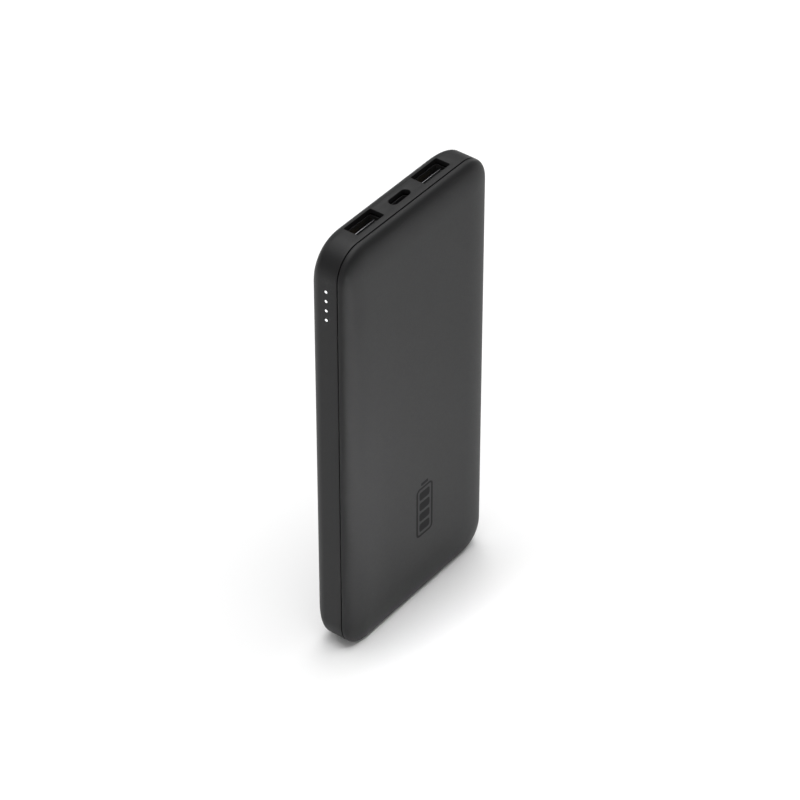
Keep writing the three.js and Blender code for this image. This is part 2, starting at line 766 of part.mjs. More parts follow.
function makeBatteryLead(name, x, look) {
  const boardFace = -STRIP_BOARD.thickness / 2 - PAD_GAP;
  const solder = BOARD.front - GAP;
  const soldered = BOARD.bottom + 2.6;
  const route = [
    [x, boardFace, STRIP_BOARD.top - 2],
    [x, boardFace - 0.6, STRIP_BOARD.top - 2],
    [x, boardFace - 1.8, STRIP_BOARD.top - 0.8],
    [x, boardFace - 2.2, STRIP_BOARD.top + 2],
    [x, boardFace - 2.2, BOARD.bottom + 1],
    [x, boardFace - 1.6, soldered - 0.1],
    [x, solder, soldered],
  ];
  piece(name, lead(route, LEAD_RADIUS, 12), look);
}

// The bead rests above the front cell's shoulder, and its lead runs up to the main board.
function makeThermistor() {
  const { x, beadRadius, leadRadius, above } = THERMISTOR;
  const y = STACK.front[0] + beadRadius;
  const bead = new THREE.SphereGeometry(beadRadius, 12, 8).translate(x, y, CELL_TOP + above);
  const route = [
    [x, y, CELL_TOP + above],
    [x, y, CELL_TOP + 5],
    [x, -2.9, STRIP_BOARD.top],
    [x, -2.2, BOARD.bottom + 1],
    [x, BOARD.front - 0.9, BOARD.bottom + 1.7],
    [x, BOARD.front - GAP, BOARD.bottom + 1.8],
  ];
  piece("cell_thermistor", join(bead, lead(route, leadRadius, 14)), LOOKS.blackLead);
}

function makeBattery() {
  makeCell("battery_cell_rear", STACK.rear);
  makeCell("battery_cell_front", STACK.front);
  const padHeight = [CELL.bottom + PAD.short, CELL_TOP - PAD.short];
  piece("cell_adhesive_pad", block(around(0, PAD.width), STACK.pad, padHeight), LOOKS.tape);
  piece("cell_divider_tape", block(around(0, PAD.width), STACK.tape, padHeight), LOOKS.tape);
  piece("cell_foam_pad", block(around(0, FOAM.width), STACK.foam, padHeight), LOOKS.foam);

  const strip = block(
    around(0, STRIP_BOARD.width),
    around(0, STRIP_BOARD.thickness),
    [STRIP_BOARD.bottom, STRIP_BOARD.top],
  );
  piece("protection_board", strip, LOOKS.board);
  for (const [cell, span] of [["rear", STACK.rear], ["front", STACK.front]]) {
    makeTab(`${cell}_cell_tab_positive`, TAB.spread - TAB.width / 2, middleOf(span));
    makeTab(`${cell}_cell_tab_negative`, -TAB.spread - TAB.width / 2, middleOf(span));
  }
  makeBatteryLead("battery_lead_positive", LEAD_X, LOOKS.redLead);
  makeBatteryLead("battery_lead_negative", -LEAD_X, LOOKS.blackLead);
  makeThermistor();
}

// ---------------------------------------------------------------- assembly

makeBackShell();
makeFrontCover();
makeButton();
makeSwitch();
makeLightGuide();
makeDiodes();
makeUsbA("usb_a_left", -USB_A_X);
makeUsbA("usb_a_right", USB_A_X);
makeUsbC();
makeMainBoard();
makeScrews();
makeBoardParts();
makeBattery();

const powerBank = new THREE.Group();
powerBank.add(...pieces);

export default powerBank;
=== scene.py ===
"""A slim black power bank standing on its short end, with its ports up.

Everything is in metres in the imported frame: +Z up the long axis, -Y out of the pillow-shaped
cover, -X out of the side with the charge lights, +X out of the side with the button.
"""

import json
import math

import bmesh
import bpy
from mathutils import Matrix, Vector


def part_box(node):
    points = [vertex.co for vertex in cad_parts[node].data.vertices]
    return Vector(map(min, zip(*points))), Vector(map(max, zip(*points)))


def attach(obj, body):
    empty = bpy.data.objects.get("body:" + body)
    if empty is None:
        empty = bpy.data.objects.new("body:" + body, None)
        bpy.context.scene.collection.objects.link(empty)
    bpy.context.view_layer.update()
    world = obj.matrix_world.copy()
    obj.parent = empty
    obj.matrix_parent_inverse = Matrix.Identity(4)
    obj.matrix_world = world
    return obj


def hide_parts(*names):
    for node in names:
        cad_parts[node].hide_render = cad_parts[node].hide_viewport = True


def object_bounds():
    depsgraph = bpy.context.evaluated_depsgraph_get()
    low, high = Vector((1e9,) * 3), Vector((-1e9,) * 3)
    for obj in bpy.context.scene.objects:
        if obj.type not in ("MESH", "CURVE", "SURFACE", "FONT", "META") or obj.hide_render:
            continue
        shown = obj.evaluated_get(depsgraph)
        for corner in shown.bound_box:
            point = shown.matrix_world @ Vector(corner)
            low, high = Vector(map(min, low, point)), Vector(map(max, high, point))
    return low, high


MM = 0.001
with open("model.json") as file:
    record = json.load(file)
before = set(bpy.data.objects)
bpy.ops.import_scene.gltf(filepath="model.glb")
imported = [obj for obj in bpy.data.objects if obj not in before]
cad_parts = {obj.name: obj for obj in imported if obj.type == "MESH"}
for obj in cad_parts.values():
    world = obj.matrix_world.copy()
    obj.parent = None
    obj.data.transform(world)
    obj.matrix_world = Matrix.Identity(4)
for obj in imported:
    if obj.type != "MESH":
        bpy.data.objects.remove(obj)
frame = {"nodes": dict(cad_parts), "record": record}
CAD_LOW, CAD_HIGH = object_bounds()

# ---------------------------------------------------------------- sizes

WIDTH = CAD_HIGH.x - CAD_LOW.x
HEIGHT = CAD_HIGH.z - CAD_LOW.z
BACK_Y = CAD_HIGH.y
FRONT_Y = CAD_LOW.y
SIDE_X = WIDTH / 2

# casing
WALL = 1.6 * MM
SEAM_GAP = 0.3 * MM
RIM_ROUND = 0.22 * MM  # the small rounding on both sides of the parting line
RIM_BAND = 1 * MM  # from the tray's edge to the first loop of its side
CORNER_RADIUS = 10.2 * MM
CORNER_POWER = 2.18
CORNER_STEPS = 28
BACK_EDGE_RADIUS = 4.6 * MM
BACK_CORNER_GROWTH = 1.3
PILLOW_REACH = 12.5 * MM
PILLOW_POWER = 2.7
PILLOW_MIN_RADIUS = 3 * MM
FLAT_MARGIN = 0.5 * MM  # from the end of a curved edge to the loop that closes the flat face
LIP_GAP = 0.3 * MM
LIP_THICKNESS = 1.2 * MM
HOLLOW_STEP = 1 * MM  # depth and width of the slope inside the cover
SHARP_ANGLE = math.radians(35)
WELD_DISTANCE = 1e-7

# openings in the tray
CUTTER_REACH = 3 * MM  # how far a cutter goes to both sides of the surface
SOCKET_SHEET = 0.3 * MM
PORT_ROUND = 0.22 * MM
USB_A_SLACK = 0.2 * MM
USB_A_CORNER = 0.45 * MM
USB_C_SLACK = 0.5 * MM
LIGHT_RADIUS = 0.5 * MM
LIGHT_SLACK = 0.04 * MM
BUTTON_SLACK = 0.12 * MM
BUTTON_MOUTH_ROUND = 0.2 * MM

# features inside the tray
SCREWS = [f"board_screw_{i}" for i in range(1, 5)]
ROOT_DEPTH = 0.4 * MM  # how far posts and ribs reach into the back wall, and bores stop short
POST_GAP = 0.15 * MM
POST_RADIUS = 2.1 * MM
POST_BORE_RADIUS = 1.1 * MM
RIB_THICKNESS = 1 * MM
RIB_BEVEL = 0.2 * MM
SIDE_RIB = {"gap": 0.3 * MM, "front": 1.6 * MM, "bottom": 12 * MM, "top": 104 * MM}
CROSS_RIB = {"below_board": 3 * MM, "front": 1.4 * MM, "half_length": 24 * MM}

# the printed battery sign
MARK_PLACE = (2.5 * MM, 35.5 * MM)  # across and up, on the cover's flat face
MARK_SIZE = (8.4 * MM, 20 * MM)
MARK_CORNER = 1.8 * MM
MARK_STROKE = 0.8 * MM
MARK_PROUD = 0.02 * MM
MARK_ROOT = 0.05 * MM
TERMINAL = {"share_of_width": 0.42, "height": 1.1 * MM, "above": 1.2 * MM}
LEVELS = {"count": 4, "end_gap": 0.6 * MM, "side_gap": 0.8 * MM, "gap": 1.1 * MM}

# the plate in each USB-A port: a lighter sheet whose colour is a painted highlight for the tongue's
# lit edge
PLATE = {"width": 9.8 * MM, "thickness": 0.25 * MM, "length": 6 * MM, "proud": 0.8 * MM}
PLATE_BEVEL = 0.06 * MM
PLATE_BACK = 0.03 * MM  # from a port's middle forwards to its plate's back face

# button and light guide
FLANGE_OVERLAP = 0.6 * MM
BUTTON_DEPTH = 3 * MM
BUTTON_ROUND = 0.35 * MM
GUIDE_BAR_INSET = 1.85 * MM  # from the ends of the light pins to the bar behind them
GUIDE_BEVEL = 0.2 * MM
PIN_LENGTH = 2.1 * MM
PIN_ROUND = 0.1 * MM

# stage
CAMERA_AZIMUTH = -52.5
CAMERA_ELEVATION = 39.2
CAMERA_DISTANCE = 1.122
CAMERA_LENS = 164.8
CAMERA_TARGET = Vector((-5.1 * MM, -3.6 * MM, 82.9 * MM))
SENSOR_WIDTH = 36
FLOOR_REACH = 6.0
WORLD_STRENGTH = 0.4


def middle(node):
    low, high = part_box(node)
    return (low + high) / 2


def size(node):
    low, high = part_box(node)
    return high - low


TRAY_EDGE_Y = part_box("back_shell")[0].y
COVER_EDGE_Y = TRAY_EDGE_Y - SEAM_GAP
LIP_BACK_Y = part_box("front_cover")[1].y
BUTTON_CAP = size("power_button") - 2 * Vector((0, FLANGE_OVERLAP, FLANGE_OVERLAP))

# ---------------------------------------------------------------- mesh helpers


def rounded_outline(width, height, radius, power=2.0, steps=8):
    """Points of a rounded rectangle about the origin, anticlockwise, as (x, y)."""
    points = []
    for sign_x, sign_y in ((1, 1), (-1, 1), (-1, -1), (1, -1)):
        for step in range(steps + 1):
            turned = step if sign_x == sign_y else steps - step
            angle = turned / steps * math.pi / 2
            along = math.cos(angle) ** (2 / power) if turned < steps else 0
            across = math.sin(angle) ** (2 / power)
            x = sign_x * (width / 2 - radius * (1 - along))
            y = sign_y * (height / 2 - radius * (1 - across))
            points.append((x, y))
    return points


def loft(name, loops, material):
    """A closed mesh object over loops of equal length, capped at both ends."""
    count = len(loops[0])
    points = [point for loop in loops for point in loop]
    faces = []
    for row in range(len(loops) - 1):
        for i in range(count):
            a = row * count + i
            b = row * count + (i + 1) % count
            faces.append((a, b, b + count, a + count))
    faces.append(tuple(range(count))[::-1])
    last = (len(loops) - 1) * count
    faces.append(tuple(range(last, last + count)))
    mesh = bpy.data.meshes.new(name)
    mesh.from_pydata(points, [], faces)
    return finished(name, mesh, material)


def finished(name, mesh, material):
    """An object for the mesh, with its faces turned outwards, smooth but for real edges."""
    shape = bmesh.new()
    shape.from_mesh(mesh)
    bmesh.ops.remove_doubles(shape, verts=shape.verts, dist=WELD_DISTANCE)
    bmesh.ops.recalc_face_normals(shape, faces=shape.faces)
    shape.to_mesh(mesh)
    shape.free()
    mesh.shade_smooth()
    mesh.set_sharp_from_angle(angle=SHARP_ANGLE)
    mesh.materials.clear()
    if material:
        mesh.materials.append(material)
    piece = bpy.data.objects.new(name, mesh)
    bpy.context.scene.collection.objects.link(piece)
    return piece


def combined(target, tools, operation):
    """The target's mesh after a boolean with each tool, which are used up."""
    for tool in tools:
        modifier = target.modifiers.new("boolean", "BOOLEAN")
        modifier.operation = operation
        modifier.solver = "EXACT"
        modifier.object = tool
    scene_graph = bpy.context.evaluated_depsgraph_get()
    result = bpy.data.meshes.new_from_object(target.evaluated_get(scene_graph))
    target.modifiers.clear()
    target.data = result
    for tool in tools:
        bpy.data.objects.remove(tool)
    result.shade_smooth()
    result.set_sharp_from_angle(angle=SHARP_ANGLE)
    return target


def prism(name, outline, levels, place, material=None):
    """A bar whose section is outline(grow), at each level (distance, grow) along place's axis."""
    loops = [
        [place @ Vector((x, y, distance)) for x, y in outline(grow)] for distance, grow in levels
    ]
    return loft(name, loops, material)


def up_at(x, y, z):
    """Places a section in XY, with distance along +Z."""
    return Matrix.Translation((x, y, z))


def sideways_at(x, y, z):
    """Places a section with its width along Z and height along Y, with distance along +X."""
    turn = Matrix(((0, 0, 1, 0), (0, 1, 0, 0), (-1, 0, 0, 0), (0, 0, 0, 1)))
    return Matrix.Translation((x, y, z)) @ turn


def backwards_at(x, y, z):
    """Places a section in XZ, with distance along +Y."""
    turn = Matrix(((1, 0, 0, 0), (0, 0, 1, 0), (0, -1, 0, 0), (0, 0, 0, 1)))
    return Matrix.Translation((x, y, z)) @ turn


def disc(radius):
    """A round section for prism."""

    def outline(grow):
        across = 2 * (radius + grow)
        return rounded_outline(across, across, across / 2)

    return outline


def rod_backwards(name, radius, start, end, x, z):
    """A round bar along +Y from one depth to another."""
    return prism(name, disc(radius), [(0, 0), (end - start, 0)], backwards_at(x, start, z))


def rounded_box(name, low, high, bevel, material=None, segments=3):
    """A box between two corners with rounded edges."""
    low, high = Vector(low), Vector(high)
    shape = bmesh.new()
    bmesh.ops.create_cube(shape, size=1)
    for corner in shape.verts:
        corner.co = Vector(
            (low[i] + high[i]) / 2 + corner.co[i] * (high[i] - low[i]) for i in range(3)
        )
    bmesh.ops.bevel(
        shape, geom=shape.edges[:], offset=bevel, segments=segments, profile=0.5, affect="EDGES"
    )
    mesh = bpy.data.meshes.new(name)
    shape.to_mesh(mesh)
    shape.free()
    return finished(name, mesh, material)


def ring(name, outer, inner, levels, place, material):
    """A closed ring between two outlines of equal length, from one level to another."""
    start, end = levels
    loops = [
        [place @ Vector((x, y, distance)) for x, y in outline]
        for outline, distance in ((outer, start), (outer, end), (inner, end), (inner, start))
    ]
    count = len(outer)
    points = [point for loop in loops for point in loop]
    faces = []
    for row in range(4):
        here = row * count
        there = (row + 1) % 4 * count
        for i in range(count):
            after = (i + 1) % count
            faces.append((here + i, here + after, there + after, there + i))
    mesh = bpy.data.meshes.new(name)
    mesh.from_pydata(points, [], faces)
    return finished(name, mesh, material)


def flared_mouth(rounding, steps=5):
    """Levels of a cutter: straight up to the surface, where it opens in a quarter circle."""
    levels = [(-CUTTER_REACH, 0.0)]
    for step in range(steps + 1):
        angle = step / steps * math.pi / 2
        levels.append((-rounding * (1 - math.sin(angle)), rounding * (1 - math.cos(angle))))
    levels.append((CUTTER_REACH, rounding))
    return levels


# ---------------------------------------------------------------- material helpers


class Recipe:
    """A node material being built round one Principled shader."""

    def __init__(self, name, color, roughness, metallic=0.0):
        self.material = bpy.data.materials.new(name)
        self.material.use_nodes = True
        self.nodes = self.material.node_tree.nodes
        self.links = self.material.node_tree.links
        self.shader = self.nodes["Principled BSDF"]
        self.shader.inputs["Base Color"].default_value = (*color, 1)
        self.shader.inputs["Roughness"].default_value = roughness
        self.shader.inputs["Metallic"].default_value = metallic
        self.place = self.nodes.new("ShaderNodeTexCoord").outputs["Object"]

    def noise(self, scale, detail=3.0, roughness=0.55):
        """A 0 to 1 value that drifts over the piece."""
        node = self.nodes.new("ShaderNodeTexNoise")
        node.inputs["Scale"].default_value = scale
        node.inputs["Detail"].default_value = detail
        node.inputs["Roughness"].default_value = roughness
        self.links.new(self.place, node.inputs["Vector"])
        return node.outputs["Fac"]

    def span(self, value, low, high):
        """Maps a 0 to 1 value to low to high."""
        node = self.nodes.new("ShaderNodeMapRange")
        node.inputs["To Min"].default_value = low
        node.inputs["To Max"].default_value = high
        self.links.new(value, node.inputs["Value"])
        return node.outputs["Result"]

    def blend(self, factor, first, second):
        """A colour between two colours."""
        node = self.nodes.new("ShaderNodeMix")
        node.data_type = "RGBA"
        node.inputs["A"].default_value = (*first, 1)
        node.inputs["B"].default_value = (*second, 1)
        self.links.new(factor, node.inputs["Factor"])
        return node.outputs["Result"]

    def vary_color(self, value, first, second):
        self.links.new(self.blend(value, first, second), self.shader.inputs["Base Color"])

    def vary_roughness(self, value, low, high):
        self.links.new(self.span(value, low, high), self.shader.inputs["Roughness"])

    def reflect(self, level):
        """Sets how strongly the surface mirrors: 0.5 is plain plastic."""
        self.shader.inputs["Specular IOR Level"].default_value = level

    def bump(self, value, height, strength=1.0):
        node = self.nodes.new("ShaderNodeBump")
        node.inputs["Distance"].default_value = height
        node.inputs["Strength"].default_value = strength
        self.links.new(value, node.inputs["Height"])
        self.links.new(node.outputs["Normal"], self.shader.inputs["Normal"])


def casing_plastic():
    """Black ABS with a fine spark-eroded grain."""
    recipe = Recipe("casing_plastic", (0.006, 0.006, 0.0065), 0.5)
    recipe.reflect(0.31)
    recipe.vary_color(recipe.noise(90), (0.005, 0.005, 0.0055), (0.007, 0.007, 0.0075))
    recipe.vary_roughness(recipe.noise(1400), 0.46, 0.54)
    recipe.bump(recipe.noise(5200, detail=2), 0.03 * MM, 0.5)
    return recipe.material


def button_plastic():
    """The same plastic from a smoother mould."""
    recipe = Recipe("button_plastic", (0.006, 0.006, 0.0065), 0.4)
    recipe.reflect(0.35)
    recipe.vary_color(recipe.noise(300), (0.005, 0.005, 0.0055), (0.008, 0.008, 0.0085))
    recipe.vary_roughness(recipe.noise(1800), 0.34, 0.44)
    return recipe.material


def mark_ink():
    """Printed black ink, a little darker and smoother than the plastic."""
    recipe = Recipe("mark_ink", (0.003, 0.003, 0.0035), 0.3)
    recipe.reflect(0.05)
    recipe.vary_roughness(recipe.noise(2500), 0.26, 0.36)
    return recipe.material


def lit_plastic():
    """The frosted ends of the light guide, lit from behind."""
    recipe = Recipe("lit_plastic", (0.9, 0.92, 0.93), 0.35)
    recipe.shader.inputs["Emission Color"].default_value = (1.0, 1.0, 1.0, 1)
    recipe.shader.inputs["Emission Strength"].default_value = 0.8
    recipe.vary_roughness(recipe.noise(3000), 0.3, 0.4)
    return recipe.material


def plain(name, color, roughness, metallic=0.0, grain=900, tint=0.25):
    """A material whose colour and roughness drift a little over a noise of the given scale."""
    recipe = Recipe(name, color, roughness, metallic)
    darker = tuple(channel * (1 - tint) for channel in color)
    lighter = tuple(min(1.0, channel * (1 + tint)) for channel in color)
    field = recipe.noise(grain)
    recipe.vary_color(field, darker, lighter)
    recipe.vary_roughness(field, max(0.05, roughness - 0.06), min(1.0, roughness + 0.06))
    return recipe.material


MATERIALS = {
    "casing": casing_plastic(),
    "button": button_plastic(),
    "mark": mark_ink(),
    "light_guide": lit_plastic(),
    "diode": plain("diode_package", (0.85, 0.8, 0.55), 0.4),
    "circuit_board": plain("solder_mask", (0.008, 0.05, 0.022), 0.35, grain=700),
    # painted shade: the port shells' steel is darkened so the inside of each port stays as dark as
    # its shade
    "port_steel": plain("shade_darkened_steel", (0.16, 0.16, 0.165), 0.45, 1.0, grain=1500),
    "port_plastic": plain("port_plastic", (0.015, 0.015, 0.016), 0.5, grain=1500),
    # painted highlight: a lighter grey plate that stands in for the lit edge of each USB-A tongue
    "tongue_edge_highlight": plain("tongue_edge_highlight", (0.22, 0.22, 0.23), 0.35, 1.0, grain=1500),
    "contact_gold": plain("contact_gold", (0.75, 0.52, 0.2), 0.28, 1.0),
    "switch_plunger": plain("plunger_plastic", (0.6, 0.57, 0.48), 0.5),
    "chip_package": plain("chip_package", (0.014, 0.014, 0.015), 0.6, grain=2000),
    "inductor_core": plain("inductor_core", (0.07, 0.07, 0.075), 0.75, grain=2200),
    "capacitor_can": plain("capacitor_can", (0.6, 0.61, 0.63), 0.25, 1.0),
    "screw_steel": plain("screw_steel", (0.4, 0.4, 0.41), 0.32, 1.0),
    "pouch_film": plain("pouch_film", (0.5, 0.51, 0.53), 0.38, 0.8, grain=180, tint=0.12),
    "nickel_tab": plain("nickel_tab", (0.55, 0.52, 0.47), 0.3, 1.0),
    "lead_red": plain("lead_red", (0.45, 0.015, 0.01), 0.5),
    "lead_black": plain("lead_black", (0.012, 0.012, 0.012), 0.5),
    "tape": plain("tape", (0.72, 0.69, 0.6), 0.7),
    "foam": plain("foam", (0.02, 0.02, 0.02), 0.95, grain=2500),
}
SLOT_OF = {entry["node"]: entry["material_slot"] for entry in frame["record"]["subparts"]}
BODY_OF = {
    node: body for body, members in frame["record"]["behaviour"]["bodies"].items() for node in members
}


def stands_for(piece, *nodes):
    """The piece is shown in place of CAD nodes, on the same body."""
    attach(piece, BODY_OF[nodes[0]])
    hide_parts(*nodes)
    return piece


# ---------------------------------------------------------------- casing, with the mark on it


def casing_loop(y, inset, radius):
    """One loop round the casing at depth y, moved in from its outline."""
    width = WIDTH - 2 * inset
    height = HEIGHT - 2 * inset
    outline = rounded_outline(width, height, radius, CORNER_POWER, CORNER_STEPS)
    return [(x, y, z + HEIGHT / 2) for x, z in outline]


def back_edge(front_y, back_y, inset, edge_radius, steps=14):
    """Loops from front_y round the back edge to the flat back."""
    loops = [casing_loop(front_y, inset, CORNER_RADIUS - inset)]
    for step in range(steps + 1):
        angle = step / steps * math.pi / 2
        bite = edge_radius * (1 - math.cos(angle))
        y = back_y - edge_radius * (1 - math.sin(angle))
        radius = CORNER_RADIUS - inset + bite * BACK_CORNER_GROWTH
        loops.append(casing_loop(y, inset + bite, radius))
    flat = inset + edge_radius + FLAT_MARGIN
    radius = CORNER_RADIUS - inset + edge_radius * BACK_CORNER_GROWTH
    loops.append(casing_loop(back_y, flat, radius))
    return loops


def rim(edge_y, direction, steps=4):
    """Loops of the small rounding at a shell's edge, from inside the wall out to its side."""
    loops = []
    for step in range(steps + 1):
        angle = step / steps * math.pi / 2
        inset = RIM_ROUND * (1 - math.sin(angle))
        y = edge_y + direction * RIM_ROUND * (1 - math.cos(angle))
        loops.append(casing_loop(y, inset, CORNER_RADIUS - inset))
    return loops


def port_cutter(node, slack, radius=None):
    """A cutter for the opening over a port's shell, round-ended unless a radius is given."""
    hollow = size(node) - 2 * Vector((SOCKET_SHEET, SOCKET_SHEET, 0))
    width = hollow.x + slack
    height = hollow.y + slack
    corner = radius or height / 2

    def outline(grow):
        return rounded_outline(width + 2 * grow, height + 2 * grow, corner + grow)

    place = middle(node)
    return prism("port_hole", outline, flared_mouth(PORT_ROUND), up_at(place.x, place.y, HEIGHT))


def light_places():
    return [middle(f"led_{i}") for i in range(1, 5)]


def light_cutter(place):
    levels = [(-CUTTER_REACH, 0), (CUTTER_REACH, 0)]
    section = disc(LIGHT_RADIUS + LIGHT_SLACK)
    return prism("light_hole", section, levels, sideways_at(-SIDE_X, place.y, place.z))


def button_outline(grow):
    width = BUTTON_CAP.z + 2 * grow
    height = BUTTON_CAP.y + 2 * grow
    return rounded_outline(width, height, height / 2, steps=12)


def button_cutter():
    place = middle("power_button")
    levels = [
        (distance, grow + BUTTON_SLACK) for distance, grow in flared_mouth(BUTTON_MOUTH_ROUND)
    ]
    return prism("button_hole", button_outline, levels, sideways_at(SIDE_X, place.y, place.z))


def screw_posts(root_y):
    board_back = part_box("main_board")[1].y
    heads = [middle(screw) for screw in SCREWS]
    return [
        rod_backwards("post", POST_RADIUS, board_back + POST_GAP, root_y, head.x, head.z)
        for head in heads
    ]


def post_bores(back_y):
    board_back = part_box("main_board")[1].y
    heads = [middle(screw) for screw in SCREWS]
    return [
        rod_backwards("bore", POST_BORE_RADIUS, board_back, back_y - ROOT_DEPTH, head.x, head.z)
        for head in heads
    ]


def ribs(root_y):
    """One rib on each side of the cells and one across, between them and the board."""
    pieces = []
    cell_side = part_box("battery_cell_rear")[1].x
    for side in (-1, 1):
        near = side * (cell_side + SIDE_RIB["gap"])
        low_x, high_x = sorted((near, near + side * RIB_THICKNESS))
        low = (low_x, SIDE_RIB["front"], SIDE_RIB["bottom"])
        pieces.append(rounded_box("rib", low, (high_x, root_y, SIDE_RIB["top"]), RIB_BEVEL))
    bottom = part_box("main_board")[0].z - CROSS_RIB["below_board"]
    reach = CROSS_RIB["half_length"]
    low = (-reach, CROSS_RIB["front"], bottom)
    pieces.append(rounded_box("rib", low, (reach, root_y, bottom + RIB_THICKNESS), RIB_BEVEL))
    return pieces


def make_back_shell():
    inner_back_y = BACK_Y - WALL
    inner_radius = BACK_EDGE_RADIUS - WALL
    inner = back_edge(TRAY_EDGE_Y + RIM_ROUND, inner_back_y, WALL, inner_radius)
    outer = rim(TRAY_EDGE_Y, 1) + back_edge(TRAY_EDGE_Y + RIM_BAND, BACK_Y, 0, BACK_EDGE_RADIUS)
    shell = loft("tray_shell", inner[::-1] + outer, MATERIALS["casing"])
    cutters = [
        port_cutter("usb_a_left_shell", USB_A_SLACK, USB_A_CORNER),
        port_cutter("usb_a_right_shell", USB_A_SLACK, USB_A_CORNER),
        port_cutter("usb_c_shell", USB_C_SLACK),
    ]
    cutters += [light_cutter(place) for place in light_places()]
    cutters.append(button_cutter())
    root_y = inner_back_y + ROOT_DEPTH
    shell = combined(shell, screw_posts(root_y) + ribs(root_y), "UNION")
    shell = combined(shell, cutters + post_bores(inner_back_y), "DIFFERENCE")
    return stands_for(shell, "back_shell")


def pillow_loops(steps=30):
    """Loops from the cover's edge over the pillow to its flat front."""
    loops = []
    for step in range(1, steps + 1):
        inset = PILLOW_REACH * (1 - math.cos(step / steps * math.pi / 2))
        rise = (1 - (1 - inset / PILLOW_REACH) ** PILLOW_POWER) ** (1 / PILLOW_POWER)
        y = COVER_EDGE_Y + (FRONT_Y - COVER_EDGE_Y) * rise
        if COVER_EDGE_Y - y < RIM_ROUND:
            continue
        loops.append(casing_loop(y, inset, max(CORNER_RADIUS - inset, PILLOW_MIN_RADIUS)))
    loops.append(casing_loop(FRONT_Y, PILLOW_REACH + FLAT_MARGIN, PILLOW_MIN_RADIUS))
    return loops


def make_front_cover():
    lip_inset = WALL + LIP_GAP
    lip_radius = CORNER_RADIUS - lip_inset
    hollow_inset = lip_inset + LIP_THICKNESS
    hollow_radius = lip_radius - LIP_THICKNESS
    inside = [
        casing_loop(FRONT_Y + WALL, hollow_inset + HOLLOW_STEP, hollow_radius),
        casing_loop(COVER_EDGE_Y - HOLLOW_STEP, hollow_inset, hollow_radius),
        casing_loop(LIP_BACK_Y, hollow_inset, hollow_radius),
        casing_loop(LIP_BACK_Y, lip_inset, lip_radius),
        casing_loop(COVER_EDGE_Y, lip_inset, lip_radius),
    ]
    loops = inside + rim(COVER_EDGE_Y, -1) + pillow_loops()
    cover = loft("pillow_cover", loops, MATERIALS["casing"])
    return stands_for(cover, "front_cover")


def make_mark():
    """A plain battery sign, printed where such cases carry a mark."""
    x, z = MARK_PLACE
    width, height = MARK_SIZE
    inner_width = width - 2 * MARK_STROKE
    inner_height = height - 2 * MARK_STROKE
    ink = MATERIALS["mark"]

    def bar(name, bar_width, bar_height, up):
        def outline(grow):
            radius = min(bar_width, bar_height) / 4 + grow
            return rounded_outline(bar_width + 2 * grow, bar_height + 2 * grow, radius)

        levels = [(-MARK_PROUD, 0), (MARK_ROOT, 0)]
        return prism(name, outline, levels, backwards_at(x, FRONT_Y, z + up), ink)

    outer = rounded_outline(width, height, MARK_CORNER)
    inner = rounded_outline(inner_width, inner_height, MARK_CORNER - MARK_STROKE)
    place = backwards_at(x, FRONT_Y, z)
    signs = [ring("mark_case", outer, inner, (-MARK_PROUD, MARK_ROOT), place, ink)]

    terminal_width = width * TERMINAL["share_of_width"]
    terminal_up = height / 2 + TERMINAL["above"]
    signs.append(bar("mark_terminal", terminal_width, TERMINAL["height"], terminal_up))

    pitch = (inner_height - 2 * LEVELS["end_gap"]) / LEVELS["count"]
    for i in range(LEVELS["count"]):
        up = (i - (LEVELS["count"] - 1) / 2) * pitch
        level_width = inner_width - 2 * LEVELS["side_gap"]
        signs.append(bar(f"mark_level_{i + 1}", level_width, pitch - LEVELS["gap"], up))
    for sign in signs:
        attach(sign, "root")


# ---------------------------------------------------------------- ports


def make_port_plates():
    """A thin lighter plate in each USB-A tongue; its colour is a painted highlight that shows as the
    bright line of the tongue's lit edge.
    """
    for side in ("left", "right"):
        port = middle(f"usb_a_{side}_shell")
        tongue_low, tongue_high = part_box(f"usb_a_{side}_insulator")
        middle_x = (tongue_low.x + tongue_high.x) / 2
        back_y = port.y - PLATE_BACK
        bottom = tongue_high.z - PLATE["length"]
        low = (middle_x - PLATE["width"] / 2, back_y - PLATE["thickness"], bottom)
        high = (middle_x + PLATE["width"] / 2, back_y, tongue_high.z + PLATE["proud"])
        metal = MATERIALS["tongue_edge_highlight"]
        plate = rounded_box(f"usb_a_{side}_plate", low, high, PLATE_BEVEL, metal)
        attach(plate, "root")


# ---------------------------------------------------------------- button and lights


def make_button(steps=5):
    centre = middle("power_button")
    levels = [(-BUTTON_DEPTH, 0.0)]
    for step in range(steps + 1):
        angle = step / steps * math.pi / 2
        back = BUTTON_ROUND * (1 - math.sin(angle))
        levels.append((-back, -BUTTON_ROUND * (1 - math.cos(angle))))
    place = sideways_at(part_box("power_button")[1].x, centre.y, centre.z)
    cap = prism("button_cap", button_outline, levels, place, MATERIALS["button"])
    return stands_for(cap, "power_button")


def make_light_guide():
    low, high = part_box("led_light_guide")
    frosted = MATERIALS["light_guide"]
    bar_low = (low.x + GUIDE_BAR_INSET, low.y, low.z)
    guide = rounded_box("light_guide", bar_low, high, GUIDE_BEVEL, frosted)
    levels = [
        (0, -PIN_ROUND),
        (0.3 * PIN_ROUND, -0.3 * PIN_ROUND),
        (PIN_ROUND, 0),
        (PIN_LENGTH, 0),
    ]
    pins = [
        prism("light_pin", disc(LIGHT_RADIUS), levels, sideways_at(low.x, at.y, at.z), frosted)
        for at in light_places()
    ]
    return stands_for(combined(guide, pins, "UNION"), "led_light_guide")


# ---------------------------------------------------------------- stage


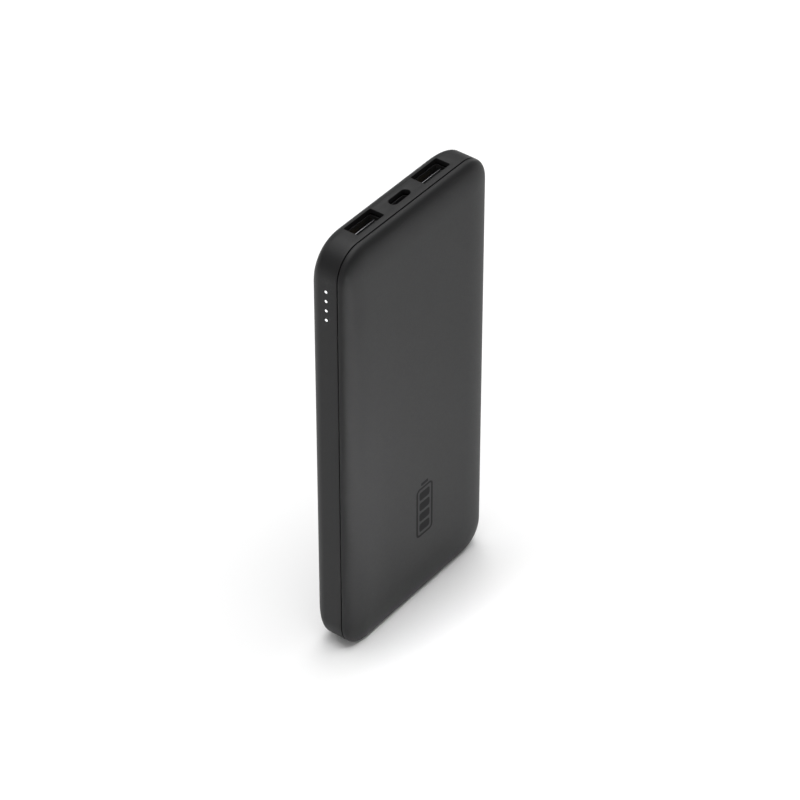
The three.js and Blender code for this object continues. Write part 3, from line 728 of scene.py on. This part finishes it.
def make_camera():
    azimuth, elevation = math.radians(CAMERA_AZIMUTH), math.radians(CAMERA_ELEVATION)
    back = Vector((
        math.sin(azimuth) * math.cos(elevation),
        -math.cos(azimuth) * math.cos(elevation),
        math.sin(elevation),
    ))
    camera = bpy.data.objects.new("camera", bpy.data.cameras.new("camera"))
    camera.data.lens = CAMERA_LENS
    camera.data.sensor_width = SENSOR_WIDTH
    camera.data.clip_start = 0.01
    camera.location = CAMERA_TARGET + back * CAMERA_DISTANCE
    camera.rotation_mode = "QUATERNION"
    camera.rotation_quaternion = (-back).to_track_quat("-Z", "Y")
    bpy.context.scene.collection.objects.link(camera)
    bpy.context.scene.camera = camera


def area_light(name, place, aim, width, height, watts, spread=180):
    light = bpy.data.lights.new(name, "AREA")
    light.shape = "RECTANGLE"
    light.size = width
    light.size_y = height
    light.energy = watts
    light.spread = math.radians(spread)
    lamp = bpy.data.objects.new(name, light)
    lamp.location = place
    lamp.rotation_mode = "QUATERNION"
    lamp.rotation_quaternion = (Vector(aim) - Vector(place)).to_track_quat("-Z", "Y")
    bpy.context.scene.collection.objects.link(lamp)


def make_lights():
    """Broad soft lights over and behind the object, and two small ones on the floor before it.

    The casing is so dark that what shows on it is mostly the lit floor in front, mirrored.
    """
    centre = (0, 0, HEIGHT / 2)
    area_light("overhead", (0, 0, 1.3), (0, 0, 0), 1.2, 1.2, 11.5)
    area_light("back_right_high", (0.48, 0.36, 1.12), centre, 0.5, 0.5, 3.1)
    area_light("back", (0, 0.98, 0.77), centre, 0.5, 0.5, 1.2)
    area_light("right_high", (0.92, 0, 0.85), centre, 0.5, 0.5, 0.5)
    area_light("right", (0.79, 0.14, 0.3), (0, 0, 0.3), 0.2, 0.58, 0.8)
    area_light("left", (-0.69, -0.1, 0.5), centre, 0.2, 0.58, 0.4)
    area_light("floor_near", (-0.04, -0.13, 0.3), (-0.04, -0.13, 0), 0.05, 0.05, 0.17, spread=45)
    area_light("floor_far", (0.05, -0.32, 0.3), (0.05, -0.32, 0), 0.1, 0.1, 0.12, spread=60)


def make_stage():
    mesh = bpy.data.meshes.new("floor")
    reach = FLOOR_REACH
    corners = [(-reach, -reach, 0), (reach, -reach, 0), (reach, reach, 0), (-reach, reach, 0)]
    mesh.from_pydata(corners, [], [(0, 1, 2, 3)])
    paper = plain("floor_paper", (0.9, 0.9, 0.9), 0.9, grain=3, tint=0.005)
    finished("floor", mesh, paper)

    world = bpy.data.worlds.new("studio")
    bpy.context.scene.world = world
    world.use_nodes = True
    backdrop = world.node_tree.nodes["Background"]
    backdrop.inputs["Color"].default_value = (1, 1, 1, 1)
    backdrop.inputs["Strength"].default_value = WORLD_STRENGTH

    make_lights()
    bpy.context.scene.view_settings.view_transform = "Standard"


for node, part in frame["nodes"].items():
    part.data.materials.clear()
    part.data.materials.append(MATERIALS[SLOT_OF[node]])

make_camera()
make_stage()
make_back_shell()
make_front_cover()
make_mark()
make_port_plates()
make_button()
make_light_guide()

bpy.context.view_layer.update()
